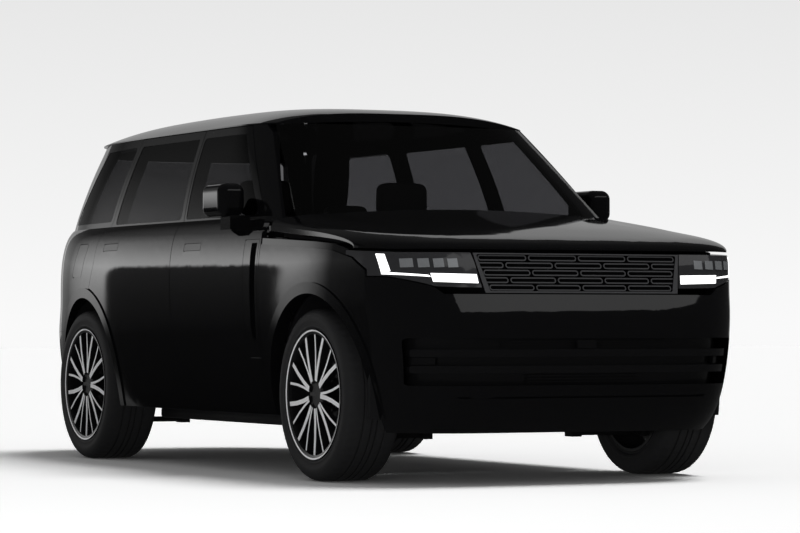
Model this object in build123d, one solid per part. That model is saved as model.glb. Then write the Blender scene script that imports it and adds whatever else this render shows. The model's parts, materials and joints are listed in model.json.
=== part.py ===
from build123d import *
from functools import lru_cache
import math
import os

# overall sizes, in millimetres
LENGTH = 5052
WIDTH = 2047
HEIGHT = 1870
WHEELBASE = 2997
FRONT_OVERHANG = 878
TRACK = 1702
TYRE_RADIUS = 406
TYRE_WIDTH = 285
RIM_RADIUS = 304
ARCH_RADIUS = 474
ARCH_BAND = 54
SHUT_GAP = 6
DOOR_SKIN = 26
DOOR_DEPTH = 110
FRAME_DEPTH = 56
WALL_DEPTH = 120
SHELL_DEPTH = 55
GLASS = 6
BELT = 1262
BELT_STEP = 5
CANT = 1742
TUMBLE = 0.333
FLOOR_TOP = 330
SEAT_SPREAD = 400
LINER_EDGE = 930
LINER_GAP = 28
SPOILER = 70
SEAM = 0.8
PIN_PLAY = 0.3
STUB_RADIUS = 22
KING_RADIUS = 18
COLUMN_RADIUS = 28
RAIL_LOW = 700
LOAD_FLOOR = 628
MIRROR_SPAN = 2209
SPOKE_PAIRS = 9
HANDLE_LENGTH = 222
HANDLE_HEIGHT = 41

FRONT_AXLE = LENGTH / 2 - FRONT_OVERHANG
REAR_AXLE = FRONT_AXLE - WHEELBASE
HALF = WIDTH / 2
NOSE = LENGTH / 2
WHEEL_Y = TRACK / 2
KINGPIN_Y = WHEEL_Y - 51
DOOR_CUT = ARCH_RADIUS + ARCH_BAND + 8

# how far the side stands in from the widest point, by height
SIDE_INSET = [(240, 93), (300, 68), (400, 47), (500, 31), (650, 14), (800, 4), (930, 0),
              (1040, 3), (1110, 11), (1160, 22), (1200, 35), (1235, 54), (1262, 78)]
# how far the nose and the tail stand in from the ends, by height
NOSE_INSET = [(240, 121), (300, 71), (370, 34), (450, 10), (600, 0), (700, 4), (800, 26),
              (884, 58), (1000, 94), (1100, 128), (1262, 196)]
TAIL_INSET = [(240, 170), (300, 126), (380, 56), (480, 11), (600, 0), (700, 8), (780, 36),
              (860, 58), (1000, 64), (1150, 74), (1270, 101), (1500, 196), (1720, 301)]
NOSE_POWER = [(240, 6.0), (700, 6.3), (900, 7.0), (1060, 8.0)]
SCREEN_POWER = [(1235, 8.0), (1500, 6.0), (1765, 4.5)]
TAIL_POWER = 4
ROOF_CROWN = [(-2260, 104), (-2050, 55), (-1800, 25), (-1400, 6), (-900, 0), (-500, 0),
              (0, 8), (400, 34), (640, 76)]

LOWER = [280, 330, 400, 480, 580, 700, 820, 930, 1020, 1090, 1150, 1195, 1230, 1262]
UPPER = [1225, 1330, 1430, 1530, 1630, 1700, 1755]
LEANS = [0, 0.3, 0.55, 0.72, 0.84, 0.92, 1, 1.09, 1.2, 1.4, 1.8, 2.5]
SHARES = [-0.95, -0.92, -0.87, -0.8, -0.7, -0.58, -0.42, -0.2, 0, 0.2, 0.4, 0.55, 0.67, 0.76,
          0.83, 0.88, 0.92, 0.945]


def curve(table, at):
    """A smooth value through a short table."""
    if at <= table[0][0]:
        return table[0][1]
    if at >= table[-1][0]:
        return table[-1][1]
    i = max(k for k in range(len(table) - 1) if table[k][0] <= at)

    def slope(k):
        a = table[max(k - 1, 0)]
        b = table[min(k + 1, len(table) - 1)]
        return (b[1] - a[1]) / (b[0] - a[0])

    (x0, y0), (x1, y1) = table[i], table[i + 1]
    h = x1 - x0
    t = (at - x0) / h
    rise = (2 * t**3 - 3 * t**2 + 1) * y0 + (3 * t**2 - 2 * t**3) * y1
    return rise + h * ((t**3 - 2 * t**2 + t) * slope(i) + (t**3 - t**2) * slope(i + 1))


def body_half(z):
    return HALF - curve(SIDE_INSET, z)


def cabin_half(z):
    swell = 14 * (z - BELT) * (CANT - z) / (240 * 240)
    return body_half(BELT) - BELT_STEP - (z - BELT) * TUMBLE + swell


def nose_reach(z):
    return NOSE - curve(NOSE_INSET, z)


def tail_reach(z):
    return NOSE - curve(TAIL_INSET, z)


def cabin_tail(z):
    return tail_reach(z) - BELT_STEP


def screen_reach(z):
    return 1300 - (z - 1210) / 0.843


def corner(share, power):
    return max(1 - abs(share) ** power, 0) ** (1 / power)


def cabin_y(x, z):
    """Half width of the glazed upper body."""
    if x > 0:
        return cabin_half(z) * corner(x / screen_reach(z), curve(SCREEN_POWER, z))
    return cabin_half(z) * corner(x / cabin_tail(z), TAIL_POWER)


def pace(chain):
    """Shares of the way along a chain of points."""
    run = [0]
    for a, b in zip(chain, chain[1:]):
        run.append(run[-1] + math.dist(a, b))
    return [r / run[-1] for r in run]


def skinned(sections):
    """A solid through closed sections, each a list of point chains."""
    paces = [pace(chain) for chain in sections[len(sections) // 2]]
    wires = []
    for section in sections:
        edges = []
        for chain, times in zip(section, paces):
            points = [Vector(*p) for p in chain]
            if len(chain) == 2:
                edges.append(Edge.make_line(*points))
            else:
                edges.append(Edge.make_spline(points, parameters=times))
        wires.append(Wire(edges))
    return Solid.make_loft(wires)


@lru_cache
def side_slab(out, deep, upper=False):
    """A wall on the right side between two depths below the outer skin."""
    sections = []
    for z in UPPER if upper else LOWER:
        half = cabin_half(z) if upper else body_half(z)
        front = screen_reach(z) if upper else nose_reach(z)
        rear = cabin_tail(z) if upper else tail_reach(z)
        bow = curve(SCREEN_POWER, z) if upper else curve(NOSE_POWER, z)
        rim = []
        for share in SHARES:
            x = share * (front if share > 0 else rear)
            rim.append((x, half * corner(share, bow if share > 0 else TAIL_POWER)))
        outer = [(x, -(y - out), z) for x, y in rim]
        inner = [(x, -(y - deep), z) for x, y in reversed(rim)]
        sections.append([outer, [outer[-1], inner[0]], inner, [inner[-1], outer[0]]])
    return skinned(sections)


def end_block(heights, reach, half, power, depth, turn):
    """A solid nose or tail cut off square behind."""
    sections = []
    for z in heights:
        n = power(z)
        rim = []
        for lean in [-t for t in reversed(LEANS[1:])] + LEANS:
            scale = (1 + abs(lean) ** n) ** (-1 / n)
            rim.append((turn * (reach(z) - depth) * scale, (half(z) - depth) * lean * scale, z))
        sections.append([rim, [rim[-1], rim[0]]])
    return skinned(sections)


def end_shell(heights, reach, half, power, out, deep, turn=1):
    grown = [heights[0] - 20] + heights[1:-1] + [heights[-1] + 20]
    outer = end_block(heights, reach, half, power, out, turn)
    return outer - end_block(grown, reach, half, power, deep, turn)


@lru_cache
def nose_shell(out, deep):
    heights = [240, 280, 330, 400, 500, 620, 720, 800, 884, 960, 1030, 1090]
    return end_shell(heights, nose_reach, body_half, lambda z: curve(NOSE_POWER, z), out, deep)


@lru_cache
def tail_shell(out, deep):
    return end_shell([270] + LOWER[1:], tail_reach, body_half, lambda z: TAIL_POWER, out, deep, -1)


@lru_cache
def glass_tail_shell(out, deep):
    return end_shell([1245, 1360, 1460, 1560, 1660, 1775], cabin_tail, cabin_half,
                     lambda z: TAIL_POWER, out, deep, -1)


@lru_cache
def screen_shell(out, deep):
    return end_shell([1200, 1300, 1420, 1540, 1660, 1770], screen_reach, cabin_half,
                     lambda z: curve(SCREEN_POWER, z), out, deep)


def rounded(points, radius):
    face = Face(Wire.make_polygon([Vector(*p) for p in points], close=True))
    if radius:
        face = face.fillet_2d(radius, face.vertices())
    return face


def side_prism(points, y0=-1200, y1=0, radius=0, grow=0):
    """An outline seen from the side, drawn out across the width."""
    face = rounded([(x, y0, z) for x, z in points], radius)
    if grow:
        face = Face(face.outer_wire().offset_2d(grow, kind=Kind.INTERSECTION))
    return Solid.extrude(face, Vector(0, y1 - y0, 0))


def end_prism(points, x0, x1, radius=0):
    """An outline seen from the front, drawn out along the length."""
    return Solid.extrude(rounded([(x0, y, z) for y, z in points], radius), Vector(x1 - x0, 0, 0))


def box(x0, x1, y0, y1, z0, z1):
    return Pos((x0 + x1) / 2, (y0 + y1) / 2, (z0 + z1) / 2) * Box(x1 - x0, y1 - y0, z1 - z0)


def rod(radius, length, spot, axis):
    turn = {"x": Rot(0, 90, 0), "y": Rot(90, 0, 0), "z": Rot(0, 0, 0)}[axis]
    return Pos(*spot) * turn * Cylinder(radius, length)


def mirrored(shape):
    return mirror(shape, about=Plane.XZ)


def both(y_points):
    """A front outline given on one side, closed across the middle."""
    return y_points + [(-y, z) for y, z in reversed(y_points)]


# side outlines (x, z)
FRONT_DOOR = [(-25, 447), (1060, 408), (1090, 600), (1094, 900), (1090, 1140), (1062, 1226),
              (968, 1250), (430, CANT - 6), (-112, CANT - 6), (-40, BELT)]
REAR_DOOR = [(-33, 447), (-48, BELT), (-120, CANT - 6), (-1010, CANT - 6),
             (-1075, 1300), (-1160, 1190), (-1178, 1060), (-1260, 900), (-1260, 480), (-748, 475)]
FRONT_WINDOW = [(-20, BELT + 10), (-88, CANT - 46), (415, CANT - 46), (890, BELT + 10)]
REAR_WINDOW = [(-86, BELT + 10), (-154, CANT - 46), (-975, CANT - 46), (-1036, BELT + 10)]
QUARTER_WINDOW = [(-1115, 1290), (-1050, CANT - 46), (-1610, CANT - 50), (-1890, 1290)]
VENT = [(898, 1148), (1074, 1148), (1074, 572), (936, 572), (898, 780)]
VENT_SLOT = [(985, 1130), (1052, 1130), (1040, 664), (1000, 664), (985, 720)]
FUEL_FLAP = [(-1587, 991), (-1394, 991), (-1308, 1176), (-1488, 1176)]
FENDER_EDGE = [(2150, 860), (1900, 760), (1800, 300)]


def handle_outline(x, z):
    return [(x, z), (x + HANDLE_LENGTH, z), (x + HANDLE_LENGTH, z + HANDLE_HEIGHT),
            (x, z + HANDLE_HEIGHT)]


def groove(outline, radius, width=4, deep=4):
    """A thin line sunk in the side along an outline."""
    ring = side_prism(outline, radius=radius) - side_prism(outline, radius=radius, grow=-width)
    return side_slab(-60, deep) & ring


def arch_cut(axle, radius, y0=-1200, y1=0):
    return rod(radius, y1 - y0, (axle, (y0 + y1) / 2, TYRE_RADIUS), "y")


def arch_band(axle):
    """The raised lip round a wheel arch."""
    ring = arch_cut(axle, ARCH_RADIUS + ARCH_BAND) - arch_cut(axle, ARCH_RADIUS)
    ring = ring & box(axle - 700, axle + 700, -1200, 0, 300, 1200)
    return side_slab(-7, 60) & ring


def door(outline, window, skins):
    """Outer skin to the shut line, inner box stepped in, with its window cut."""
    outer = side_prism(outline)
    inner = side_prism(outline, grow=-38)
    lower, core, frame, frame_core = skins
    rail = side_prism(outline, grow=-46)
    body = (lower & outer) + (core & inner) + (frame & outer) + (frame_core & rail)
    body -= side_prism(window, radius=22)
    return body


def make_body_side():
    lower = side_slab(0, WALL_DEPTH)
    upper = side_slab(0, FRAME_DEPTH + 14, upper=True)
    tail = -2096 + SEAM
    tail_line = [(tail, 694 + SEAM), (tail, BELT), (-2180, BELT + 2), (-1985, CANT)]
    hull = [(1090, 300), (1086, 1135), (1074, 1205), (520, CANT)]
    whole = side_prism(hull + tail_line[::-1] + [(SEAM - 1806, 694 + SEAM), (SEAM - 1806, 300)])
    wall = (lower & whole) + (upper & whole)
    wall -= end_prism(both([(-722, 1200), (-722, BELT), (-612, CANT + 4)]), -2500, -1800)
    wall -= box(-2300, -1930, -1000, 0, CANT - 14, CANT + 20)
    recess = side_slab(-60, DOOR_SKIN + 6)
    recess_up = side_slab(-60, 20, upper=True)
    posts = side_slab(-60, 64) & (box(1030, 1096, -1200, 0, 300, BELT)
                                  + box(-100, -20, -1200, 0, 300, BELT))
    for outline in (FRONT_DOOR, REAR_DOOR):
        grown = side_prism(outline, grow=SHUT_GAP - 3)
        wall -= recess & grown
        wall -= posts & grown
        wall -= recess_up & grown
        wall -= side_prism(outline, grow=-26)
    wall += arch_band(REAR_AXLE) & whole
    wall -= arch_cut(REAR_AXLE, ARCH_RADIUS)
    wall -= arch_cut(REAR_AXLE, ARCH_RADIUS + LINER_GAP, -LINER_EDGE)
    return wall - side_prism(QUARTER_WINDOW, radius=30)


def make_fender():
    top = [(1090 + SHUT_GAP, 1121), (1400, 1107), (1690, 1092), (1880, 1078), (2050, 1040),
           (2150, 980)]
    outline = side_prism(top + FENDER_EDGE + [(1090 + SHUT_GAP, 300)])
    wall = (side_slab(0, 45) & outline) + (arch_band(FRONT_AXLE) & outline)
    wall -= arch_cut(FRONT_AXLE, ARCH_RADIUS + LINER_GAP, -LINER_EDGE)
    return wall - arch_cut(FRONT_AXLE, ARCH_RADIUS)


def hood_inset(x, y):
    """How far inside the hood's edge a place lies, as a share."""
    share = ((abs(x) / nose_reach(1090)) ** 8 + (abs(y) / body_half(1090)) ** 8) ** (1 / 8)
    return max(1 - share, 0)


def hood_depth(x, y):
    return 10 + 16 * min(hood_inset(x, y) / 0.05, 1)


def hood_z(x, y):
    """Height of the hood: a low pillow rolled down to the shut line."""
    inside = hood_inset(x, y)
    roll = min(inside / 0.10, 1)
    edge = 1078 + 62 * min(max((2300 - x) / 1200, 0), 1)
    lift = 58 * (1 - (1 - roll) ** 2.2) ** (1 / 2.2)
    rise = 0.1 * min(max(NOSE - 130 - x, 0), 1300) * (1 - 0.55 * (abs(y) / HALF) ** 2)
    return edge + lift + rise * min(inside / 0.16, 1) ** 0.8


def make_hood():
    stations = [0, 180, 360, 520, 640, 740, 820, 880, 920, 950, 972]
    sections = []
    for y in [-s for s in reversed(stations[1:])] + stations:
        nose = nose_reach(1090) * corner(abs(y) / body_half(1090), 8) - 2
        back = max(1102, screen_reach(1226) * corner(abs(y) / cabin_half(1226), 8) + 24)
        steps = [0, 0.25, 0.5, 0.68, 0.8, 0.88, 0.93, 0.965, 0.985, 1]
        top = [(back + (nose - back) * t, y) for t in steps]
        over = [(x, y, hood_z(x, y)) for x, y in top]
        under = [(x, y, z - hood_depth(x, y)) for x, y, z in reversed(over)]
        sections.append([over, [over[-1], under[0]], under, [under[-1], over[0]]])
    return skinned(sections)


def roof_half(x):
    """Half width of the roof, which runs on behind the glass as a spoiler."""
    if x > 0:
        return cabin_y(x, CANT)
    t = min(max((-1500 - x) / 600, 0), 1)
    return cabin_half(CANT) * corner(x / (cabin_tail(CANT) + SPOILER * t * t * (3 - 2 * t)), TAIL_POWER)


def roof_block(x0, x1, count):
    sections = []
    for i in range(count):
        x = x0 + (x1 - x0) * i / (count - 1)
        half = roof_half(x)
        peak = HEIGHT - curve(ROOF_CROWN, x)
        rim = []
        for k in range(-8, 9):
            s = math.sin(k / 8 * math.pi / 2)
            rim.append((x, half * s, CANT + 6 + (peak - CANT - 6) * (1 - abs(s) ** 3.2)))
        flat = half - 70
        under = []
        for k in range(8, -9, -1):
            s = k / 8
            under.append((x, flat * s, CANT + (peak - 42 - CANT) * (1 - s * s)))
        left, right = (x, half, CANT), (x, -half, CANT)
        sections.append([rim, [rim[-1], left], [left, under[0]], under, [under[-1], right],
                         [right, rim[0]]])
    return skinned(sections)


def make_windshield():
    glass = screen_shell(2, 2 + GLASS)
    return glass & end_prism(both([(-858, 1226), (-692, CANT - PIN_PLAY)]), 300, 1500)


def make_front_bumper():
    shell = nose_shell(0, SHELL_DEPTH)
    keep = end_prism(both([(-1100, 200), (-1100, 960), (-905, 948), (-745, 905), (-700, 872)]),
                     1500, 2700)
    shell = shell & keep
    edge = [(x + SEAM, z) for x, z in FENDER_EDGE]
    behind = [(1000, 200), (1000, 1200), (edge[0][0], 1200)] + edge + [(edge[2][0], 200)]
    band = arch_band(FRONT_AXLE) - side_prism(behind)
    shell -= side_prism(behind, -1200, 1200)
    shell = shell + band + mirrored(band)
    shell -= arch_cut(FRONT_AXLE, ARCH_RADIUS, -1200, 1200)
    shell -= arch_cut(FRONT_AXLE, ARCH_RADIUS + LINER_GAP, -LINER_EDGE, LINER_EDGE)
    shell -= nose_shell(-30, 12) & end_prism(both([(-640, 399), (-650, 409)]), 2000, 2700)
    return shell - end_prism(both([(-845, 458), (-866, 672)]), 2000, 2700, 18)


def make_lower_grille():
    """A sunk panel behind the intake with two blades, slats, end lamps and a sensor."""
    behind = SHELL_DEPTH + SEAM
    back = nose_shell(behind, behind + 20) & end_prism(both([(-860, 440), (-880, 690)]), 2165, 2700)
    blades = end_prism(both([(-830, 588), (-832, 622)]), 2160, 2700, 8)
    blades += end_prism(both([(-826, 514), (-828, 548)]), 2160, 2700, 8)
    blades = nose_shell(14, behind + 10) & blades
    bars = None
    for z in (472, 486, 500, 630, 642, 654):
        half = 300 if z < 550 else 430
        slat = end_prism(both([(-half, z), (-half, z + 5)]), 2300, 2700)
        bars = slat if bars is None else bars + slat
    for side in (-1, 1):
        bars += end_prism([(side * 730, 552), (side * 815, 552), (side * 815, 584),
                           (side * 730, 584)], 2160, 2700)
    bars = nose_shell(36, behind + 10) & bars
    sensor = box(nose_reach(650) - behind - 10, nose_reach(650) - 20, -50, 50, 626, 664)
    return back + blades + bars + sensor


def grille_slab(out, deep):
    """A slanted layer behind the line of the nose, seen from the side."""
    low, high = nose_reach(878), nose_reach(1060)
    return side_prism([(low - out, 878), (high - out, 1060), (high - deep, 1060), (low - deep, 878)],
                      -700, 700)


def make_grille():
    """A plate, a frame and five staggered rows of long rounded loops."""
    outline = end_prism(both([(-504, 878), (-541, 1060)]), 2200, 2700)
    mouth = end_prism(both([(-478, 886), (-526, 1054)]), 2200, 2700, 8)
    loops = Sketch()
    for row in range(5):
        z = 902 + row * 34
        pitch = (478 + (z - 886) * 48 / 168) / 2
        pill = SlotOverall(pitch - 10, 27) - SlotOverall(pitch - 22, 15)
        spots = [-1.5, -0.5, 0.5, 1.5] if row % 2 == 0 else [-2, -1, 0, 1, 2]
        for k in spots:
            loops += Pos(k * pitch, z) * pill
    bars = extrude(Plane((2300, 0, 0), x_dir=(0, 1, 0), z_dir=(1, 0, 0)) * loops, 300)
    bars = bars & (grille_slab(8, 50) & mouth)
    rim = (grille_slab(2, 50) & outline) - mouth
    return (grille_slab(42, 60) & outline) + rim + bars


def make_headlight():
    shell = nose_shell(3, 110)
    front = end_prism([(-500, 880), (-556, 1082), (-900, 1082), (-990, 1082), (-990, 958),
                       (-905, 954), (-745, 911), (-700, 878)], 2000, 2700)
    lamp = shell & front
    side = [(1896, 1080), (2060, 1044), (2158, 986), (2158, 946), (2700, 866), (2700, 1061),
            (2320, 1061)]
    lamp = lamp & side_prism(side, -1200, 0)
    return lamp - end_prism(both([(-498, 800), (-554, 1100)]), 2000, 2700)


def make_tail_light():
    lamp = tail_shell(0, 80) & side_prism([(-2096, 918), (-2096, BELT - 2), (-2500, BELT - 2),
                                           (-2500, 918)])
    return lamp - end_prism(both([(-722, 800), (-722, 1300)]), -2600, -2000)


def make_rear_bumper():
    shell = tail_shell(0, SHELL_DEPTH + 20)
    ahead = [(-500, 200), (-500, 1300), (-2096, 1300), (-2096, 694), (-1806, 694), (-1806, 200)]
    band = arch_band(REAR_AXLE) - side_prism(ahead)
    shell -= side_prism(ahead, -1200, 1200)
    shell = shell + band + mirrored(band)
    shell -= end_prism([(-1200, 912), (-722, 912), (-722, 782), (722, 782), (722, 912),
                        (1200, 912), (1200, 1400), (-1200, 1400)], -2700, -1900)
    shell -= arch_cut(REAR_AXLE, ARCH_RADIUS + LINER_GAP, -LINER_EDGE, LINER_EDGE)
    return shell - arch_cut(REAR_AXLE, ARCH_RADIUS, -1200, 1200)


def make_tailgate():
    """The whole rear door with its window frame and the spoiler."""
    low = tail_shell(0, 60) & end_prism(both([(-716, 790), (-716, BELT)]), -2700, -2000)
    for y in (-716, 646):
        low -= box(-2216, -1900, y, y + 70, 700, 1300)
    frame = glass_tail_shell(0, 40)
    frame = frame & end_prism(both([(-716, 1250), (-716, BELT), (-600, CANT + 24)]), -2700, -1956)
    frame -= end_prism(both([(-640, 1290), (-545, CANT - 60)]), -2700, -1800, 30)
    return low + frame + roof_block(-1956, -2250, 9)


def make_rear_glass():
    return glass_tail_shell(2, 2 + GLASS) & end_prism(both([(-639, 1291), (-544, CANT - 61)]),
                                                      -2700, -1800, 29)


def make_tyre():
    r, w = TYRE_RADIUS, TYRE_WIDTH / 2
    bead = RIM_RADIUS - 8
    profile = [(bead, -w + 17), (bead + 10, -w + 17), (bead + 16, -w + 7), (r - 62, -w),
               (r - 26, -w + 5), (r - 6, -w + 22), (r, -w + 50), (r, w - 50), (r - 6, w - 22),
               (r - 26, w - 5), (r - 62, w), (bead + 16, w - 7), (bead, w - 17)]
    face = Face(Wire.make_polygon([Vector(a, b, 0) for a, b in profile], close=True))
    return Solid.revolve(face, 360, Axis.Y)


def spoke(angles, wide, y0, y1):
    """One bar between the hub and the rim, its middle line bent by the given angles."""
    radii = [66, 130, 200, RIM_RADIUS - 16]
    ahead, behind = [], []
    for r, angle in zip(radii, angles):
        lean = math.radians(angle)
        half = wide / 2 / r
        ahead.append((r * math.cos(lean + half), y0, r * math.sin(lean + half)))
        behind.append((r * math.cos(lean - half), y0, r * math.sin(lean - half)))
    return Solid.extrude(rounded(ahead + behind[::-1], 0), Vector(0, y1 - y0, 0))


def make_wheel():
    """Rim, hub and pairs of spokes; the wheel axis is Y, outer face to -Y."""
    w = TYRE_WIDTH / 2
    lip = RIM_RADIUS
    barrel = [(lip - 9, -w + 16), (lip - 9, w - 16), (lip - 24, w - 16), (lip - 30, w - 60),
              (lip - 40, -20), (lip - 26, -w + 24), (lip - 20, -w + 10), (lip, -w + 4),
              (lip, -w + 15)]
    face = Face(Wire.make_polygon([Vector(a, b, 0) for a, b in barrel], close=True))
    wheel = Solid.revolve(face, 360, Axis.Y)
    wheel += rod(74, 40, (0, -w + 45, 0), "y") + rod(60, 60, (0, -w + 80, 0), "y")
    wheel += rod(195, 26, (0, -20, 0), "y") + rod(80, 40, (0, -27, 0), "y")
    step = 360 / SPOKE_PAIRS
    for k in range(SPOKE_PAIRS):
        apex = k * step
        wheel += spoke([apex - 5, apex - 5.6, apex - 7.4, apex - step / 4], 21, -w + 14, -w + 48)
        wheel += spoke([apex + 5, apex + 5.6, apex + 7.4, apex + step / 4], 12, -w + 16, -w + 44)
    for k in range(5):
        lean = math.radians(90 + 72 * k)
        wheel -= rod(8, 24, (60 * math.cos(lean), -w + 28, 60 * math.sin(lean)), "y")
    return wheel - rod(STUB_RADIUS + PIN_PLAY, 60, (0, -30, 0), "y")


def make_knuckle():
    upright = box(-42, 42, KINGPIN_Y - 40, KINGPIN_Y + 14, TYRE_RADIUS - 150, TYRE_RADIUS + 150)
    stub = rod(STUB_RADIUS, 96, (0, KINGPIN_Y + 54, TYRE_RADIUS), "y")
    pin = rod(KING_RADIUS, 440, (0, KINGPIN_Y, TYRE_RADIUS), "z")
    return upright + stub + pin


def make_axle(axle, top):
    beam = box(axle - 60, axle + 60, -430, 430, 250, 330)
    case = rod(110, 200, (axle, 0, TYRE_RADIUS), "y")
    shafts = rod(18, 1400, (axle, 0, TYRE_RADIUS), "y")
    arms = None
    for z in (TYRE_RADIUS - 196, TYRE_RADIUS + 196):
        for side in (-1, 1):
            eye = rod(36, 34, (axle, side * KINGPIN_Y, z), "z")
            reach = sorted((side * 400, side * KINGPIN_Y))
            arm = box(axle - 24, axle + 24, reach[0], reach[1], z - 14, z + 14) + eye
            arm -= rod(KING_RADIUS + PIN_PLAY, 60, (axle, side * KINGPIN_Y, z), "z")
            arms = arm if arms is None else arms + arm
    towers = box(axle - 40, axle + 40, -430, -380, 190, top)
    return beam + case + shafts + arms + towers + mirrored(towers)


def floor_half():
    return body_half(FLOOR_TOP - 40) - WALL_DEPTH - PIN_PLAY


def make_floor():
    half = floor_half()
    front = box(-842, 1062, -half, half, FLOOR_TOP - 40, FLOOR_TOP)
    rise = box(-880, -840, -620, 620, FLOOR_TOP - 40, LOAD_FLOOR + 28)
    load = box(-2300, -850, -620, 620, LOAD_FLOOR, LOAD_FLOOR + 28)
    tunnel = box(-330, 1062, -130, 130, FLOOR_TOP - 40, FLOOR_TOP + 130)
    return front + rise + load + tunnel


def make_bulkhead():
    """The wall ahead of the feet, the cowl, and a bracket out to each fender."""
    half = floor_half()
    wall = box(1062, 1090, -half, half, FLOOR_TOP - 40, 1120)
    cowl = box(1062, 1240, -800, 800, 1090, 1130)
    bracket = side_slab(45 + PIN_PLAY, 160) & box(1092, 1150, -1200, 0, 930, 1000)
    bracket += box(1085, 1150, -900, -700, 930, 1000) - box(1000, 1092, -900, -half, 900, 1100)
    return wall + cowl + bracket + mirrored(bracket)


def make_front_frame():
    """Two rails from the bulkhead, an engine cradle, the bumper beam and the radiator panel."""
    beam = nose_shell(SHELL_DEPTH + SEAM, SHELL_DEPTH + 30)
    beam = beam & end_prism(both([(-640, 715), (-640, 850)]), 2000, 2700)
    rail = box(1090, 2445, -450, -360, RAIL_LOW, RAIL_LOW + 60)
    rail += box(1300, 1360, -450, -360, 500, RAIL_LOW + 10)
    cradle = box(1300, 1360, -450, 450, 500, 540)
    panel = box(2200, 2240, -640, 640, RAIL_LOW, 1010)
    stay = grille_slab(60, 240) & box(2000, 2700, -60, 60, 930, 1000)
    lamp_stay = nose_shell(110 + PIN_PLAY, 260) & end_prism([(-630, 940), (-570, 940), (-570, 1005),
                                                          (-630, 1005)], 2205, 2700)
    return beam + rail + mirrored(rail) + cradle + panel + stay + lamp_stay + mirrored(lamp_stay)


def make_rear_frame():
    """The beam behind the rear bumper and its stay under the load floor."""
    deep = SHELL_DEPTH + 20 + SEAM
    beam = tail_shell(deep, deep + 35) & end_prism(both([(-600, 450), (-600, 600)]), -2700, -2000)
    return beam + box(-2430, -2200, -300, 300, 560, LOAD_FLOOR)


def make_dashboard():
    profile = [(1062, 860), (1062, 1140), (900, 1165), (760, 1120), (700, 1020), (760, 860)]
    dash = side_prism(profile, -790, 790, 30)
    return dash - steering_spot() * Pos(0, 0, -150) * Cylinder(COLUMN_RADIUS + PIN_PLAY, 260)


def soft(x, y, z, radius=38):
    """A block with rounded edges."""
    return fillet(Box(x, y, z).edges(), radius)


def make_seat():
    cushion = Pos(205, 0, 555) * soft(530, 500, 170)
    base = box(-20, 420, -200, 200, FLOOR_TOP, 500)
    back = Pos(-70, 0, 620) * Rot(0, -14, 0) * Pos(0, 0, 330) * soft(130, 500, 680)
    head = Pos(-232, 0, 1400) * soft(100, 280, 190)
    post = Pos(-230, 0, 1290) * Box(16, 160, 120)
    return cushion + base + back + head + post


def make_rear_bench():
    cushion = Pos(-570, 0, 565) * soft(480, 1240, 170)
    base = box(-790, -400, -580, 580, FLOOR_TOP, 510)
    back = Pos(-752, 0, 645) * Rot(0, -16, 0) * Pos(0, 0, 320) * soft(130, 1240, 640)
    bench = cushion + base + back
    for y in (-400, 0, 400):
        bench += Pos(-940, y, 1320) * soft(90, 250, 150) + Pos(-930, y, 1240) * Box(16, 120, 90)
    return bench


def steering_spot():
    return Pos(560, SEAT_SPREAD, 1030) * Rot(0, -68, 0)


def make_steering_wheel():
    grip = Torus(185, 16)
    spoke = Box(350, 40, 16)
    hub = Pos(0, 0, -20) * Cylinder(60, 60)
    column = Pos(0, 0, -110) * Cylinder(COLUMN_RADIUS, 170)
    return steering_spot() * (grip + spoke + hub + column)


def make_liner(axle, inner):
    edge = LINER_EDGE - SEAM
    tub = rod(ARCH_RADIUS + LINER_GAP - SEAM, edge - inner, (axle, -(edge + inner) / 2, TYRE_RADIUS), "y")
    tub -= rod(ARCH_RADIUS + 6, edge - inner, (axle, -(edge + inner) / 2 - 16, TYRE_RADIUS), "y")
    tub -= box(axle - 70, axle + 70, -inner - 30, 0, 100, 650)
    return tub & box(axle - 700, axle + 700, -1200, 0, 300, 1200)


def make_mirror():
    head = Pos(690, 70 - MIRROR_SPAN / 2, 1346) * soft(260, 140, 164, 46)
    return head + box(680, 800, -1045, -900, 1200, BELT + 9)


def seat_pair():
    seat = make_seat()
    return Compound([Pos(0, -SEAT_SPREAD, 0) * seat, Pos(0, SEAT_SPREAD, 0) * seat])


def save(name, shape):
    shape = Compound(shape.solids()) if len(shape.solids()) > 1 else shape.solids()[0]
    export_step(shape, os.path.join("parts", name + ".step"))


def pair(name, shape):
    save(name + "_right", shape)
    save(name + "_left", mirrored(shape))


def twins(name, shape):
    save(name, Compound(list(shape.solids()) + list(mirrored(shape).solids())))


os.makedirs("parts", exist_ok=True)
skins = (side_slab(0, DOOR_SKIN), side_slab(20, DOOR_DEPTH), side_slab(0, 14, upper=True),
         side_slab(10, FRAME_DEPTH, upper=True))
pane = side_slab(2, 2 + GLASS, upper=True)
side = make_body_side()
save("body_side_left", mirrored(side))
save("body_side_right", side - groove(FUEL_FLAP, 18))
for label, outline, window in (("front_door", FRONT_DOOR, FRONT_WINDOW),
                               ("rear_door", REAR_DOOR, REAR_WINDOW)):
    leaf = door(outline, window, skins)
    if label == "rear_door":
        leaf -= arch_cut(REAR_AXLE, DOOR_CUT)
        leaf -= arch_cut(REAR_AXLE, DOOR_CUT + 26) & side_slab(DOOR_SKIN - 4, WALL_DEPTH + 80)
    if label == "front_door":
        leaf -= side_slab(-60, 20) & side_prism(VENT_SLOT, radius=7)
        leaf -= groove(VENT, 0)
        leaf -= groove(handle_outline(122, 1104), 8)
        pair("mirror", make_mirror() - leaf)
    else:
        leaf -= groove(handle_outline(-1043, 1127), 8)
    pair(label, leaf)
    pair(label + "_glass", pane & side_prism(window, radius=22, grow=-0.5))
twins("quarter_glass", pane & side_prism(QUARTER_WINDOW, radius=30, grow=-0.5))
pair("fender", make_fender())
save("hood", make_hood())
save("roof", roof_block(560, -1950, 14))
save("windshield", make_windshield())
save("front_bumper", make_front_bumper())
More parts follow.
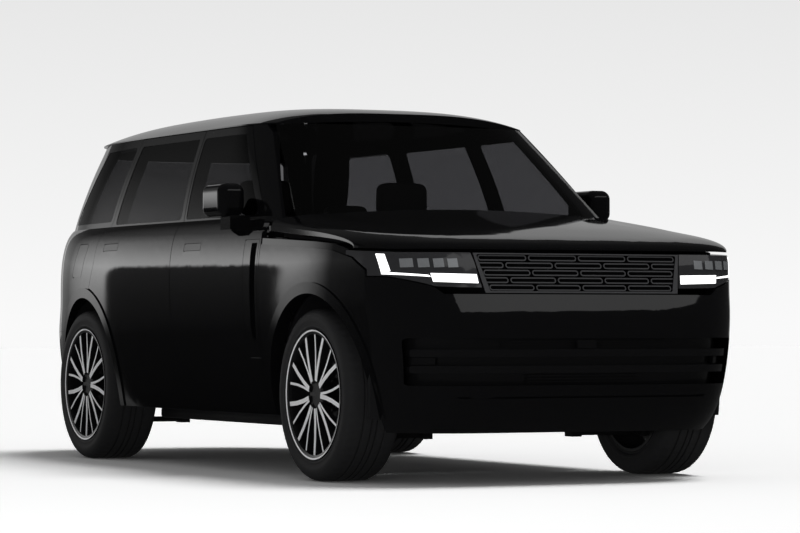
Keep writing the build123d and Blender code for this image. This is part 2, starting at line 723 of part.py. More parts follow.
save("lower_grille", make_lower_grille())
save("grille", make_grille())
twins("headlights", make_headlight())
twins("tail_lights", make_tail_light())
save("rear_bumper", make_rear_bumper())
save("tailgate", make_tailgate())
save("rear_glass", make_rear_glass())
tyre = make_tyre()
for label, axle in (("front", FRONT_AXLE), ("rear", REAR_AXLE)):
    for side, sign in (("right", -1), ("left", 1)):
        spot = Pos(axle, sign * WHEEL_Y, TYRE_RADIUS)
        wheel = make_wheel()
        if sign > 0:
            wheel = mirrored(wheel)
        save(label + "_wheel_" + side, spot * wheel)
        save(label + "_tyre_" + side, spot * (tyre if sign < 0 else mirrored(tyre)))
    knuckle = Pos(axle, 0, 0) * mirrored(make_knuckle())
    pair(label + "_knuckle", knuckle)
    save(label + "_axle", make_axle(axle, RAIL_LOW if label == "front" else LOAD_FLOOR))
twins("wheel_liners", Compound([make_liner(FRONT_AXLE, 470), make_liner(REAR_AXLE, 645)]))
save("floor", make_floor())
save("bulkhead", make_bulkhead())
save("dashboard", make_dashboard())
save("front_seats", seat_pair())
save("rear_bench", make_rear_bench())
save("steering_wheel", make_steering_wheel())
save("front_frame", make_front_frame())
save("rear_frame", make_rear_frame())
save("engine_block", box(1250, 2000, -330, 330, 540, 1000))
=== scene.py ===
import bpy
import bmesh
import json
import math
from mathutils import Matrix, Vector


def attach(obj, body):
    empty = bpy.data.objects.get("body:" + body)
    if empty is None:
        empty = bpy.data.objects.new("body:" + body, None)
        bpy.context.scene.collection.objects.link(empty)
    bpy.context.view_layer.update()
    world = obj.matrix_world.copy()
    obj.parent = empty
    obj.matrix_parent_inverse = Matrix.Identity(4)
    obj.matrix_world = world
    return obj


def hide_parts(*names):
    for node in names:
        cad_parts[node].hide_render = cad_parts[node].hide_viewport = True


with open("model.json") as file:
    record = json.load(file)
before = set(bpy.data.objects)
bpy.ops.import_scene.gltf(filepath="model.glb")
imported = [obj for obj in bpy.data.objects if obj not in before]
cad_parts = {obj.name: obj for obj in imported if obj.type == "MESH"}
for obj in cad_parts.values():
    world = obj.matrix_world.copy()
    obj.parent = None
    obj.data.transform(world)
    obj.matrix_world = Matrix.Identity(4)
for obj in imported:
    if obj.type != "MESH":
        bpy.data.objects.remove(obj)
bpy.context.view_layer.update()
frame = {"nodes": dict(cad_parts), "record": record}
nodes = frame["nodes"]
print("stage: frame loaded")

# tones and roughness of the finishes, with the size and depth of their grain
finishValues = {
    "paint": {"tone": (0.0030, 0.0030, 0.0034), "rough": 0.045, "level": 0.5,
              "grain": 900, "deep": 0.0, "mottle": 0.5},
    "trim": {"tone": (0.0050, 0.0050, 0.0055), "rough": 0.20, "level": 0.45,
             "grain": 300, "deep": 0.02, "mottle": 0.3},
    "plastic": {"tone": (0.012, 0.012, 0.013), "rough": 0.55, "level": 0.3,
                "grain": 420, "deep": 0.25, "mottle": 0.25},
    "rubber": {"tone": (0.020, 0.020, 0.021), "rough": 0.62, "level": 0.35,
               "grain": 160, "deep": 0.15, "mottle": 0.2},
    "alloy": {"tone": (0.92, 0.92, 0.93), "rough": 0.30, "grain": 520, "deep": 0.03, "mottle": 0.08},
    "pocket": {"tone": (0.006, 0.006, 0.0065), "rough": 0.25, "level": 0.4,
               "grain": 300, "deep": 0.02, "mottle": 0.2},
    # steel: darker than bare steel, as painted shade, so the parts under the car read as the shade there
    "steel": {"tone": (0.018, 0.018, 0.019), "rough": 0.5, "metal": 0.6,
              "grain": 90, "deep": 0.2, "mottle": 0.3},
    "leather": {"tone": (0.020, 0.019, 0.019), "rough": 0.45, "level": 0.4,
                "grain": 260, "deep": 0.35, "mottle": 0.2},
    "lampRed": {"tone": (0.09, 0.002, 0.003), "rough": 0.08, "grain": 200, "deep": 0.05, "mottle": 0.2},
    "satin": {"tone": (0.055, 0.055, 0.058), "rough": 0.38, "metal": 0.2,
              "grain": 400, "deep": 0.03, "mottle": 0.15},
    "lens": {"tone": (0.030, 0.030, 0.032), "rough": 0.05, "grain": 240, "deep": 0.0, "mottle": 0.4},
    "cell": {"tone": (0.26, 0.27, 0.28), "rough": 0.25, "metal": 0.3,
             "grain": 260, "deep": 0.05, "mottle": 0.2},
}
grainValues = {"detail": 3, "spread": 0.15, "height": 0.001}


def addNode(tree, kind, sockets=None, **settings):
    node = tree.nodes.new("ShaderNode" + kind)
    for key, value in settings.items():
        setattr(node, key, value)
    for key, value in (sockets or {}).items():
        node.inputs[key].default_value = value
    return node


def newMaterial(name):
    material = bpy.data.materials.new(name)
    material.use_nodes = True
    return material, material.node_tree, material.node_tree.nodes["Principled BSDF"]


def makeMaterial(name):
    values = finishValues[name]
    material, tree, shader = newMaterial(name)
    shader.inputs["Metallic"].default_value = values.get("metal", 0.0)
    shader.inputs["Specular IOR Level"].default_value = values.get("level", 0.5)
    place = addNode(tree, "TexCoord")
    grain = addNode(tree, "TexNoise", {"Scale": values["grain"], "Detail": grainValues["detail"]})
    low, high = 1 - values["mottle"], 1 + values["mottle"]
    shade = addNode(tree, "Mix", data_type="RGBA")
    shade.inputs["A"].default_value = (*[c * low for c in values["tone"]], 1)
    shade.inputs["B"].default_value = (*[c * high for c in values["tone"]], 1)
    gloss = addNode(tree, "MapRange", {"To Min": values["rough"] * (1 - grainValues["spread"]),
                                       "To Max": values["rough"] * (1 + grainValues["spread"])})
    tree.links.new(place.outputs["Object"], grain.inputs["Vector"])
    tree.links.new(grain.outputs["Fac"], shade.inputs["Factor"])
    tree.links.new(shade.outputs["Result"], shader.inputs["Base Color"])
    tree.links.new(grain.outputs["Fac"], gloss.inputs["Value"])
    tree.links.new(gloss.outputs["Result"], shader.inputs["Roughness"])
    if values["deep"]:
        bump = addNode(tree, "Bump", {"Strength": values["deep"], "Distance": grainValues["height"]})
        tree.links.new(grain.outputs["Fac"], bump.inputs["Height"])
        tree.links.new(bump.outputs["Normal"], shader.inputs["Normal"])
    return material


# glass: a tint at each face, and a mirror share on the face turned to the eye
glassValues = {
    "glassClear": {"tint": 0.62, "gloss": 0.8},
    "glassDark": {"tint": 0.35, "gloss": 0.4},
}
glassShine = {"rough": 0.01, "index": 1.45, "blue": 1.02}


def makeGlass(name):
    tint, gloss = glassValues[name]["tint"], glassValues[name]["gloss"]
    material, tree, shader = newMaterial(name)
    tree.nodes.remove(shader)
    clear = addNode(tree, "BsdfTransparent", {"Color": (tint, tint, tint * glassShine["blue"], 1)})
    shine = addNode(tree, "BsdfGlossy", {"Roughness": glassShine["rough"],
                                         "Color": (gloss, gloss, gloss, 1)})
    edge = addNode(tree, "Fresnel", {"IOR": glassShine["index"]})
    side = addNode(tree, "NewGeometry")
    outer = addNode(tree, "Mix")
    outer.inputs["B"].default_value = 0.0
    mix = addNode(tree, "MixShader")
    tree.links.new(side.outputs["Backfacing"], outer.inputs["Factor"])
    tree.links.new(edge.outputs["Fac"], outer.inputs["A"])
    tree.links.new(outer.outputs["Result"], mix.inputs["Fac"])
    tree.links.new(clear.outputs["BSDF"], mix.inputs[1])
    tree.links.new(shine.outputs["BSDF"], mix.inputs[2])
    tree.links.new(mix.outputs["Shader"], tree.nodes["Material Output"].inputs["Surface"])
    return material


glowValues = {"tone": (1.0, 1.0, 1.0), "strength": 1.6}


def makeGlow(name):
    material, _, shader = newMaterial(name)
    shader.inputs["Base Color"].default_value = (*glowValues["tone"], 1)
    shader.inputs["Emission Color"].default_value = (*glowValues["tone"], 1)
    shader.inputs["Emission Strength"].default_value = glowValues["strength"]
    return material


made = {name: makeMaterial(name) for name in finishValues}
made.update({name: makeGlass(name) for name in glassValues})
made["glow"] = makeGlow("glow")
finishOf = {"lamp": "lens", "lamp_red": "lampRed", "glass": "glassDark"}
slotOf = {part["node"]: part["material_slot"] for part in frame["record"]["subparts"]}
for name, thing in nodes.items():
    finish = "glassClear" if name == "windshield" else finishOf.get(slotOf[name], slotOf[name])
    thing.data.materials.clear()
    thing.data.materials.append(made[finish])

# the nose surface, as a formula of height and distance from the middle
noseValues = {"half": 1.0235, "nose": 2.526}
sideInset = [(0.800, 0.004), (0.930, 0), (1.040, 0.003), (1.110, 0.011)]
noseInset = [(0.800, 0.026), (0.884, 0.058), (1.000, 0.094), (1.100, 0.128)]
nosePower = [(0.700, 6.3), (0.900, 7.0), (1.060, 8.0)]


def along(table, at):
    for (a, b), (c, d) in zip(table, table[1:]):
        if at <= c:
            return b + (d - b) * (at - a) / (c - a)
    return table[-1][1]


def noseX(y, z, proud):
    power = along(nosePower, z)
    half = noseValues["half"] - along(sideInset, z) + proud
    reach = noseValues["nose"] - along(noseInset, z) + proud
    return reach * max(1 - (abs(y) / half) ** power, 0) ** (1 / power)


# wheels: bright machined fronts, dark pockets and a dark ring inside the lip
wheelValues = {"radius": 0.406, "half": 0.1425, "track": 0.851, "front": 1.648, "rear": -1.349,
               "skin": 0.022, "facing": 0.6, "ring": 0.2895, "ringHalf": 0.0070}


def makeAlloy(name, x):
    alloy = makeMaterial("alloy")
    alloy.name = name
    tree = alloy.node_tree
    shader = tree.nodes["Principled BSDF"]
    bright = shader.inputs["Base Color"].links[0].from_socket
    place = addNode(tree, "TexCoord")
    away = addNode(tree, "VectorMath", {1: (x, 0, wheelValues["radius"])}, operation="SUBTRACT")
    flat = addNode(tree, "VectorMath", {1: (1, 0, 1)}, operation="MULTIPLY")
    reach = addNode(tree, "VectorMath", operation="LENGTH")
    ring = addNode(tree, "Math", {1: wheelValues["ring"], 2: wheelValues["ringHalf"]}, operation="COMPARE")
    shade = addNode(tree, "Mix", data_type="RGBA")
    shade.inputs["B"].default_value = (*finishValues["pocket"]["tone"], 1)
    tree.links.new(place.outputs["Object"], away.inputs[0])
    tree.links.new(away.outputs["Vector"], flat.inputs[0])
    tree.links.new(flat.outputs["Vector"], reach.inputs[0])
    tree.links.new(reach.outputs["Value"], ring.inputs[0])
    tree.links.new(ring.outputs["Value"], shade.inputs["Factor"])
    tree.links.new(bright, shade.inputs["A"])
    tree.links.new(shade.outputs["Result"], shader.inputs["Base Color"])
    return alloy


alloyOf = {end: makeAlloy("alloy" + end.capitalize(), wheelValues[end]) for end in ("front", "rear")}
rimLine = wheelValues["track"] + wheelValues["half"] - wheelValues["skin"]
for name, thing in nodes.items():
    if slotOf[name] != "alloy":
        continue
    thing.data.materials[0] = alloyOf[name.split("_")[0]]
    thing.data.materials.append(made["pocket"])
    for face in thing.data.polygons:
        front = abs(face.normal.y) > wheelValues["facing"] and face.normal.y * face.center.y > 0
        outer = abs(face.center.y) > rimLine
        face.material_index = 0 if front and outer else 1

# grille: satin faces on the loops, gloss black behind
grilleValues = {"facing": 0.8, "skin": 0.013}
grille = nodes["grille"]
grille.data.materials.append(made["satin"])
for face in grille.data.polygons:
    front = face.normal.x > grilleValues["facing"]
    outer = face.center.x > noseX(0, face.center.z, 0) - grilleValues["skin"]
    face.material_index = 1 if front and outer else 0
print("stage: finishes set")


def addPiece(name, shape, finish, body, smooth=30):
    mesh = bpy.data.meshes.new(name)
    bmesh.ops.recalc_face_normals(shape, faces=shape.faces)
    shape.to_mesh(mesh)
    shape.free()
    for face in mesh.polygons:
        face.use_smooth = True
    mesh.set_sharp_from_angle(angle=math.radians(smooth))
    mesh.materials.append(made[finish])
    piece = bpy.data.objects.new(name, mesh)
    bpy.context.collection.objects.link(piece)
    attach(piece, body)
    return piece


# tyres with ribs, grooves and shoulder blocks
tyreValues = {"blocks": 56, "stepsPerBlock": 3, "cut": 0.005, "cutFrom": 0.09, "cutTo": 0.125,
              "groove": 0.008, "smooth": 35}
treadTop = wheelValues["radius"]
treadLow = treadTop - tyreValues["groove"]
# (radius, offset) from the bead to the middle
tyreProfile = [
    (0.2970, 0.1255), (0.3060, 0.1255), (0.3110, 0.1350), (0.3200, 0.1390), (0.3290, 0.1372),
    (0.3440, 0.1425), (0.3620, 0.1412), (0.3800, 0.1372), (0.3915, 0.1300), (0.3990, 0.1205),
    (0.4030, 0.1100), (treadTop - 0.001, 0.0930), (treadTop - 0.0005, 0.0630), (treadLow, 0.0605),
    (treadLow, 0.0535), (treadTop, 0.0510), (treadTop, 0.0190), (treadLow, 0.0170), (treadLow, 0.0105),
    (treadTop, 0.0085),
]


def makeTyre(name, body, node, x, y):
    values = tyreValues
    z = wheelValues["radius"]
    profile = tyreProfile + [(reach, -off) for reach, off in reversed(tyreProfile)]
    shape = bmesh.new()
    ring = [shape.verts.new((x + reach, y + off, z)) for reach, off in profile]
    edges = [shape.edges.new(pair) for pair in zip(ring, ring[1:] + ring[:1])]
    steps = values["blocks"] * values["stepsPerBlock"]
    bmesh.ops.spin(shape, geom=ring + edges, cent=(x, y, z), axis=(0, 1, 0), dvec=(0, 0, 0),
                   angle=2 * math.pi, steps=steps, use_merge=True, use_duplicate=False)
    for vert in shape.verts:
        lean = math.atan2(vert.co.z - z, vert.co.x - x)
        step = round(lean / (2 * math.pi) * steps) % values["stepsPerBlock"]
        if step == 0 and values["cutFrom"] < abs(vert.co.y - y) < values["cutTo"]:
            reach = math.hypot(vert.co.x - x, vert.co.z - z)
            share = (reach - values["cut"]) / reach
            vert.co.x = x + (vert.co.x - x) * share
            vert.co.z = z + (vert.co.z - z) * share
    tyre = addPiece(name, shape, "rubber", body, values["smooth"])
    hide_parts(node)


for end in ("front", "rear"):
    for side, sign in (("right", -1), ("left", 1)):
        makeTyre(end + "Tread" + side.capitalize(), end + "_wheel_" + side, end + "_tyre_" + side,
                 wheelValues[end], sign * wheelValues["track"])
print("stage: tyres made")


def between(a, b, share):
    return a * (1 - share) + b * share


def thicken(shape, verts, thick):
    faces = list(dict.fromkeys(face for vert in verts for face in vert.link_faces))
    shape.normal_update()
    bmesh.ops.recalc_face_normals(shape, faces=faces)
    bmesh.ops.solidify(shape, geom=faces, thickness=thick)


# a thin curved tile on the nose between four (y, z) corners, from the upper left one round
def noseTile(shape, corners, values):
    (ya, za), (yb, zb), (yc, zc), (yd, zd) = corners
    grid = bmesh.ops.create_grid(shape, x_segments=values["across"], y_segments=values["up"],
                                 size=0.5)["verts"]
    for vert in grid:
        s, t = 0.5 + vert.co.x, 0.5 - vert.co.y
        y = between(between(ya, yb, s), between(yd, yc, s), t)
        z = between(between(za, zb, s), between(zd, zc, s), t)
        vert.co = (noseX(y, z, values["proud"]), y, z)
    thicken(shape, grid, values["thick"])


# lit strips: an outer leg, a thin line and an inner block
stripValues = {"across": 10, "up": 2, "proud": -0.001, "thick": 0.003}
stripTiles = [
    [(-0.934, 1.056), (-0.912, 1.054), (-0.897, 0.976), (-0.921, 0.966)],
    [(-0.921, 0.972), (-0.760, 0.958), (-0.752, 0.950), (-0.921, 0.962)],
    [(-0.752, 0.966), (-0.536, 0.962), (-0.532, 0.922), (-0.744, 0.928)],
]
shape = bmesh.new()
for sign in (1, -1):
    for tile in stripTiles:
        noseTile(shape, [(sign * y, z) for y, z in tile], stripValues)
addPiece("litStrips", shape, "glow", "body")

# lamp cells on the lens face
cellValues = {"across": 2, "up": 2, "proud": 0.0004, "thick": 0.002, "count": 4, "first": -0.845,
              "pitch": 0.066, "half": 0.024, "skew": 0.002, "top": 1.032, "low": 0.992, "rise": 0.002}
shape = bmesh.new()
for sign in (1, -1):
    for k in range(cellValues["count"]):
        y = cellValues["first"] + cellValues["pitch"] * k
        left, right = y - cellValues["half"], y + cellValues["half"]
        top, low, rise, skew = (cellValues[key] for key in ("top", "low", "rise", "skew"))
        tile = [(left, top), (right, top + rise), (right + skew, low + rise), (left + skew, low)]
        noseTile(shape, [(sign * a, b) for a, b in tile], cellValues)
addPiece("lampCells", shape, "cell", "body")
print("stage: lamps made")

# seats: crowned pads with sewn channels; a foot is (x, z), up is along the leaning back
seatValues = {"spread": 0.400, "round": 5.0, "cuts": 15, "channel": 0.010, "channelWidth": 0.05,
              "channelMost": 0.5, "fill": 0.7, "smooth": 60}
seatSewn = (-0.55, 0.55)
seatPads = {
    "seatCushion": {"size": (0.53, 0.50, 0.17), "foot": (0.205, 0.555), "sewn": seatSewn},
    "seatBack": {"size": (0.13, 0.50, 0.68), "foot": (-0.07, 0.62), "sewn": seatSewn,
                 "lean": -14, "up": 0.33},
    "seatHead": {"size": (0.10, 0.28, 0.19), "foot": (-0.232, 1.40), "sewn": ()},
}
benchSewn = (-0.68, -0.33, 0.33, 0.68)
benchPads = {
    "benchCushion": {"size": (0.48, 1.24, 0.17), "foot": (-0.57, 0.565), "sewn": benchSewn},
    "benchBack": {"size": (0.13, 1.24, 0.64), "foot": (-0.752, 0.645), "sewn": benchSewn,
                  "lean": -16, "up": 0.32},
}
benchHead = {"size": (0.09, 0.25, 0.15), "foot": (-0.94, 1.32), "sewn": ()}
seatMiddles = (-seatValues["spread"], seatValues["spread"])
benchMiddles = (-seatValues["spread"], 0.0, seatValues["spread"])


def makePad(name, values, y):
    size = values["size"]
    shape = bmesh.new()
    bmesh.ops.create_cube(shape, size=2)
    bmesh.ops.subdivide_edges(shape, edges=shape.edges[:], cuts=seatValues["cuts"], use_grid_fill=True)
    power = seatValues["round"]
    turn = Matrix.Rotation(math.radians(values.get("lean", 0)), 4, "Y")
    place = Vector((values["foot"][0], y, values["foot"][1])) + turn @ Vector((0, 0, values.get("up", 0)))
    thin = min(range(3), key=lambda k: size[k])
    for vert in shape.verts:
        spot = vert.co * sum(abs(c) ** power for c in vert.co) ** (-1 / power)
        sew = sum(seatValues["channel"] * math.exp(-((spot.y - at) / seatValues["channelWidth"]) ** 2)
                  for at in values["sewn"])
        spot = Vector([c * length / 2 for c, length in zip(spot, size)])
        sew = min(sew, abs(spot[thin]) * seatValues["channelMost"])
        spot[thin] -= math.copysign(sew, spot[thin])
        vert.co = place + turn @ spot
    pad = addPiece(name, shape, "leather", "body", seatValues["smooth"])


for side, y in zip(("Right", "Left"), seatMiddles):
    for name, values in seatPads.items():
        makePad(name + side, values, y)
for name, values in benchPads.items():
    makePad(name, values, 0)
for k, y in enumerate(benchMiddles):
    makePad("benchHead%d" % k, benchHead, y)


def addBlock(shape, low, high, edge):
    corners = bmesh.ops.create_cube(shape, size=1)["verts"]
    for vert in corners:
        for k in range(3):
            vert.co[k] = low[k] if vert.co[k] < 0 else high[k]
    edges = list({one for vert in corners for one in vert.link_edges})
    bmesh.ops.bevel(shape, geom=edges, offset=edge, affect="EDGES", segments=2, profile=0.5, material=-1)


def addPost(shape, place, radius, height):
    bmesh.ops.create_cone(shape, cap_ends=True, segments=16, radius1=radius, radius2=radius,
                          depth=height, matrix=Matrix.Translation(place))


# seat bases with the posts of the head rests
seatBase = {"rear": -0.02, "front": 0.42, "half": 0.20, "low": 0.33, "high": 0.50, "edge": 0.012,
            "post": (-0.231, 1.30), "postGap": 0.07, "postRadius": 0.007, "postHeight": 0.12}
benchBase = {"rear": -0.79, "front": -0.40, "half": 0.58, "low": 0.33, "high": 0.51, "edge": 0.012,
             "post": (-0.935, 1.24), "postGap": 0.05, "postRadius": 0.006, "postHeight": 0.09}


def makeBase(name, node, values, blockMiddles, postMiddles):
    shape = bmesh.new()
    for y in blockMiddles:
        addBlock(shape, (values["rear"], y - values["half"], values["low"]),
                 (values["front"], y + values["half"], values["high"]), values["edge"])
    for y in postMiddles:
        for off in (-values["postGap"], values["postGap"]):
            addPost(shape, (values["post"][0], y + off, values["post"][1]),
                    values["postRadius"], values["postHeight"])
    base = addPiece(name, shape, "plastic", "body")
    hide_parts(node)


makeBase("seatBases", "front_seats", seatBase, seatMiddles, seatMiddles)
makeBase("benchBase", "rear_bench", benchBase, (0,), benchMiddles)
print("stage: seats made")

# fender flanges that close the seam under the hood's edge: up the side, then a ledge inwards
flangeValues = {"rear": 1.100, "front": 2.000, "steps": 30, "thick": 0.004, "drop": 0.006, "rise": 0.036,
                "outer": 0.005, "turn": 0.010, "inner": 0.044, "crown": 0.006,
                "reach": 2.400, "power": 8.0, "half": 1.012, "smooth": 60}
fenderTop = [(1.098, 1.121), (1.400, 1.107), (1.690, 1.092), (1.880, 1.078), (2.050, 1.040)]


def addFlange(shape, sign):
    values = flangeValues
    grid = bmesh.ops.create_grid(shape, x_segments=values["steps"], y_segments=2, size=1)["verts"]
    for vert in grid:
        x = between(values["rear"], values["front"], (1 + vert.co.x) / 2)
        y = values["half"] * (1 - (x / values["reach"]) ** values["power"]) ** (1 / values["power"])
        z = along(fenderTop, x) - values["drop"]
        row = round(vert.co.y) + 1
        inset = (values["outer"], values["turn"], values["inner"])[row]
        lift = (0, values["rise"], values["rise"] + values["crown"])[row]
        vert.co = (x, sign * (y - inset), z + lift)
    thicken(shape, grid, values["thick"])


shape = bmesh.new()
for sign in (1, -1):
    addFlange(shape, sign)
addPiece("fenderFlanges", shape, "paint", "body", flangeValues["smooth"])
print("stage: flanges made")

# a dark tray under the cabin: painted shade, a dark sheet put where the car's underside lies in shade,
# hiding the suspension there
shadeTrayValues = {"front": 1.05, "rear": -0.86, "half": 0.74, "low": 0.234, "high": 0.290, "edge": 0.015}
shape = bmesh.new()
addBlock(shape, (shadeTrayValues["rear"], -shadeTrayValues["half"], shadeTrayValues["low"]),
         (shadeTrayValues["front"], shadeTrayValues["half"], shadeTrayValues["high"]), shadeTrayValues["edge"])
addPiece("underTray", shape, "plastic", "body")
print("stage: tray made")

# camera at the photo's angle
cameraSpot = {"place": (15.740, -7.458, 0.737), "yaw": 153.830, "pitch": 0.993, "lens": 149.06, "film": 36}
cameraData = bpy.data.cameras.new("camera")
cameraData.lens = cameraSpot["lens"]
cameraData.sensor_width = cameraSpot["film"]
cameraThing = bpy.data.objects.new("camera", cameraData)
bpy.context.collection.objects.link(cameraThing)
yaw, pitch = math.radians(cameraSpot["yaw"]), math.radians(cameraSpot["pitch"])
aim = Vector((math.cos(pitch) * math.cos(yaw), math.cos(pitch) * math.sin(yaw), math.sin(pitch)))
cameraThing.location = cameraSpot["place"]
cameraThing.rotation_euler = aim.to_track_quat("-Z", "Y").to_euler()
bpy.context.scene.camera = cameraThing
bpy.context.scene.view_settings.view_transform = "Standard"

# world: pale behind, dim in reflections
worldTones = {"low": 0.95, "high": 0.80, "fadeTop": 0.10, "light": 0.22, "mirrored": 0.04}


def makeWorld():
    world = bpy.data.worlds.new("world")
    bpy.context.scene.world = world
    world.use_nodes = True
    tree = world.node_tree
    back = tree.nodes["Background"]
    back.inputs["Color"].default_value = (1, 1, 1, 1)
    rays = addNode(tree, "LightPath")
    place = addNode(tree, "TexCoord")
    split = addNode(tree, "SeparateXYZ")
    fade = addNode(tree, "MapRange", {"From Min": 0.0, "From Max": worldTones["fadeTop"],
                                      "To Min": worldTones["low"], "To Max": worldTones["high"]})
    seen = addNode(tree, "Mix")
    shine = addNode(tree, "Mix")
    shine.inputs["A"].default_value = worldTones["light"]
    shine.inputs["B"].default_value = worldTones["mirrored"]
    tree.links.new(place.outputs["Generated"], split.inputs["Vector"])
    tree.links.new(split.outputs["Z"], fade.inputs["Value"])
    tree.links.new(rays.outputs["Is Glossy Ray"], shine.inputs["Factor"])
    tree.links.new(rays.outputs["Is Camera Ray"], seen.inputs["Factor"])
    tree.links.new(shine.outputs["Result"], seen.inputs["A"])
    tree.links.new(fade.outputs["Result"], seen.inputs["B"])
    tree.links.new(seen.outputs["Result"], back.inputs["Strength"])


makeWorld()


def addPlane(name, corners, material):
    shape = bmesh.new()
    shape.faces.new([shape.verts.new(spot) for spot in corners])
    mesh = bpy.data.meshes.new(name)
    shape.to_mesh(mesh)
    shape.free()
    plane = bpy.data.objects.new(name, mesh)
    bpy.context.collection.objects.link(plane)
    mesh.materials.append(material)
    return plane


# floor: pale to the camera, left out of reflections
floorValues = {"size": 80, "seen": 1.30, "light": 0.5, "rough": 0.9}


def makeFloor():
    material, tree, shader = newMaterial("floor")
    shader.inputs["Roughness"].default_value = floorValues["rough"]
    shader.inputs["Specular IOR Level"].default_value = 0.0
    rays = addNode(tree, "LightPath")
    tone = addNode(tree, "Mix", data_type="RGBA")
    tone.inputs["A"].default_value = (*[floorValues["light"]] * 3, 1)
    tone.inputs["B"].default_value = (*[floorValues["seen"]] * 3, 1)
    through = addNode(tree, "BsdfTransparent")
    drop = addNode(tree, "MixShader")
    tree.links.new(rays.outputs["Is Camera Ray"], tone.inputs["Factor"])
    tree.links.new(tone.outputs["Result"], shader.inputs["Base Color"])
    tree.links.new(rays.outputs["Is Glossy Ray"], drop.inputs["Fac"])
    tree.links.new(shader.outputs["BSDF"], drop.inputs[1])
    tree.links.new(through.outputs["BSDF"], drop.inputs[2])
    tree.links.new(drop.outputs["Shader"], tree.nodes["Material Output"].inputs["Surface"])
    s = floorValues["size"]
    addPlane("floor", [(-s, -s, 0), (s, -s, 0), (s, s, 0), (-s, s, 0)], material)


makeFloor()

# a lit wall, seen in reflections only: brightest 1.75 m up, with a dark rounded opening
wallValues = {"place": (-9.5, -6.2), "turn": 123.1, "left": -7.0, "right": 9.0, "low": -3.0, "high": 8.0,
              "middle": 1.22, "half": 1.13, "top": 1.75, "round": 0.42, "soft": 0.10, "gap": 0.045,
              "bright": 1.75, "fadeFrom": 2.4, "fadeTo": 5.6, "fadeLeft": 0.22,
              "frontFrom": -2.4, "frontTo": -0.1, "frontLeft": 0.10}
wallFade = [(-3.0, 0.03), (0.0, 0.16), (1.75, 1.0), (2.5, 0.70),
            (3.1, 0.46), (3.8, 0.24), (4.5, 0.12), (8.0, 0.03)]


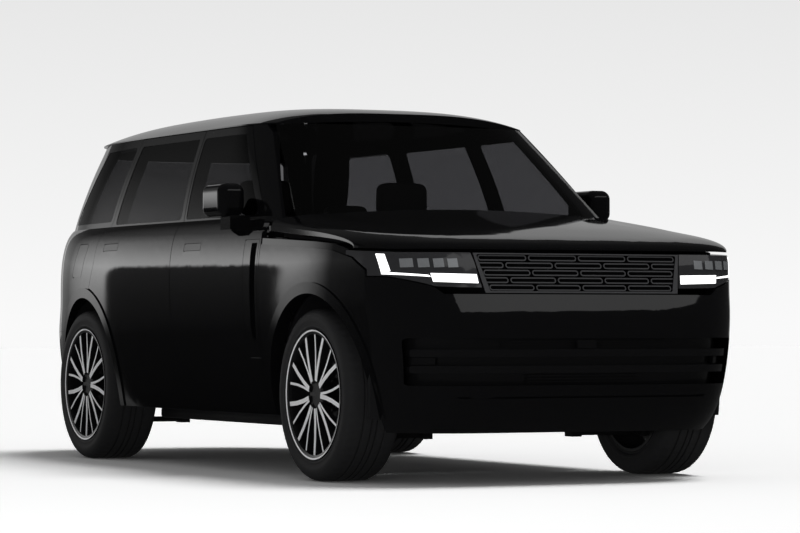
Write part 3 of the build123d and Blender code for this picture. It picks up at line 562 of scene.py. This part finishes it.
def makeWall():
    values = wallValues
    material, tree, shader = newMaterial("litWall")
    tree.nodes.remove(shader)

    def sums(kind, a, b=0):
        node = addNode(tree, "Math", operation=kind)
        for socket, value in zip(node.inputs, (a, b)):
            if isinstance(value, (int, float)):
                socket.default_value = value
            else:
                tree.links.new(value, socket)
        return node.outputs["Value"]

    split = addNode(tree, "SeparateXYZ")
    place = addNode(tree, "TexCoord")
    tree.links.new(place.outputs["Object"], split.inputs["Vector"])
    x, z = split.outputs["X"], split.outputs["Z"]

    across = sums("ABSOLUTE", sums("SUBTRACT", x, values["middle"]))
    wide = sums("MAXIMUM", sums("SUBTRACT", across, values["half"] - values["round"]))
    tall = sums("MAXIMUM", sums("SUBTRACT", z, values["top"] - values["round"]))
    reach = sums("SQRT", sums("ADD", sums("MULTIPLY", wide, wide), sums("MULTIPLY", tall, tall)))
    opening = addNode(tree, "MapRange", {"From Min": values["round"] - values["soft"],
                                         "From Max": values["round"] + values["soft"],
                                         "To Min": values["gap"]}, interpolation_type="SMOOTHSTEP")
    rearEnd = addNode(tree, "MapRange", {"From Min": values["fadeFrom"], "From Max": values["fadeTo"],
                                         "To Min": values["bright"],
                                         "To Max": values["bright"] * values["fadeLeft"]})
    frontEnd = addNode(tree, "MapRange", {"From Min": values["frontFrom"], "From Max": values["frontTo"],
                                          "To Min": values["frontLeft"]}, interpolation_type="SMOOTHSTEP")
    for node, value in ((opening, reach), (rearEnd, x), (frontEnd, x)):
        tree.links.new(value, node.inputs["Value"])
    strength = sums("MULTIPLY", opening.outputs["Result"], rearEnd.outputs["Result"])
    strength = sums("MULTIPLY", strength, frontEnd.outputs["Result"])

    height = values["high"] - values["low"]
    ramp = addNode(tree, "ValToRGB")
    stops = ramp.color_ramp.elements
    while len(stops) < len(wallFade):
        stops.new(0.5)
    for stop, (level, tone) in zip(stops, wallFade):
        stop.position = (level - values["low"]) / height
        stop.color = (tone, tone, tone, 1)
    tree.links.new(sums("DIVIDE", sums("SUBTRACT", z, values["low"]), height), ramp.inputs["Fac"])

    shine = addNode(tree, "Emission")
    tree.links.new(ramp.outputs["Color"], shine.inputs["Color"])
    tree.links.new(strength, shine.inputs["Strength"])
    tree.links.new(shine.outputs["Emission"], tree.nodes["Material Output"].inputs["Surface"])
    left, right, low, high = (values[key] for key in ("left", "right", "low", "high"))
    corners = [(left, 0, low), (right, 0, low), (right, 0, high), (left, 0, high)]
    wall = addPlane("litWall", corners, material)
    wall.location = (*values["place"], 0)
    wall.rotation_euler = (0, 0, math.radians(values["turn"]))
    wall.visible_camera = wall.visible_diffuse = wall.visible_shadow = wall.visible_transmission = False


makeWall()

# a soft high lamp for the shadow, left out of reflections
sunValues = {"from": (0.05, 0.42, 1.0), "strength": 1.75, "spread": 30}
sunData = bpy.data.lights.new("highLamp", "SUN")
sunData.energy = sunValues["strength"]
sunData.angle = math.radians(sunValues["spread"])
sunThing = bpy.data.objects.new("highLamp", sunData)
bpy.context.collection.objects.link(sunThing)
sunThing.rotation_euler = (-Vector(sunValues["from"])).to_track_quat("-Z", "Y").to_euler()
sunThing.visible_glossy = False

# a low lamp on the wheels and the front, and two boxes seen in reflections only
boxValues = {
    "lowLamp": {"place": (9.0, -7.5, 0.5), "width": 6.0, "height": 0.7, "power": 300, "mirrored": False},
    "rearBox": {"place": (-11.0, 6.0, 4.2), "width": 14.0, "height": 7.4, "power": 112, "mirrored": True},
    "frontBox": {"place": (10.0, 6.0, 8.0), "width": 12.0, "height": 3.0, "power": 90, "mirrored": True},
}
for name, values in boxValues.items():
    data = bpy.data.lights.new(name, "AREA")
    data.shape = "RECTANGLE"
    data.size, data.size_y = values["width"], values["height"]
    data.energy = values["power"]
    light = bpy.data.objects.new(name, data)
    bpy.context.collection.objects.link(light)
    spot = Vector(values["place"])
    light.location = spot
    light.rotation_euler = Vector((-spot.x, -spot.y, 0)).to_track_quat("-Z", "Y").to_euler()
    light.visible_glossy = values["mirrored"]
    light.visible_diffuse = not values["mirrored"]
print("stage: camera and light set")
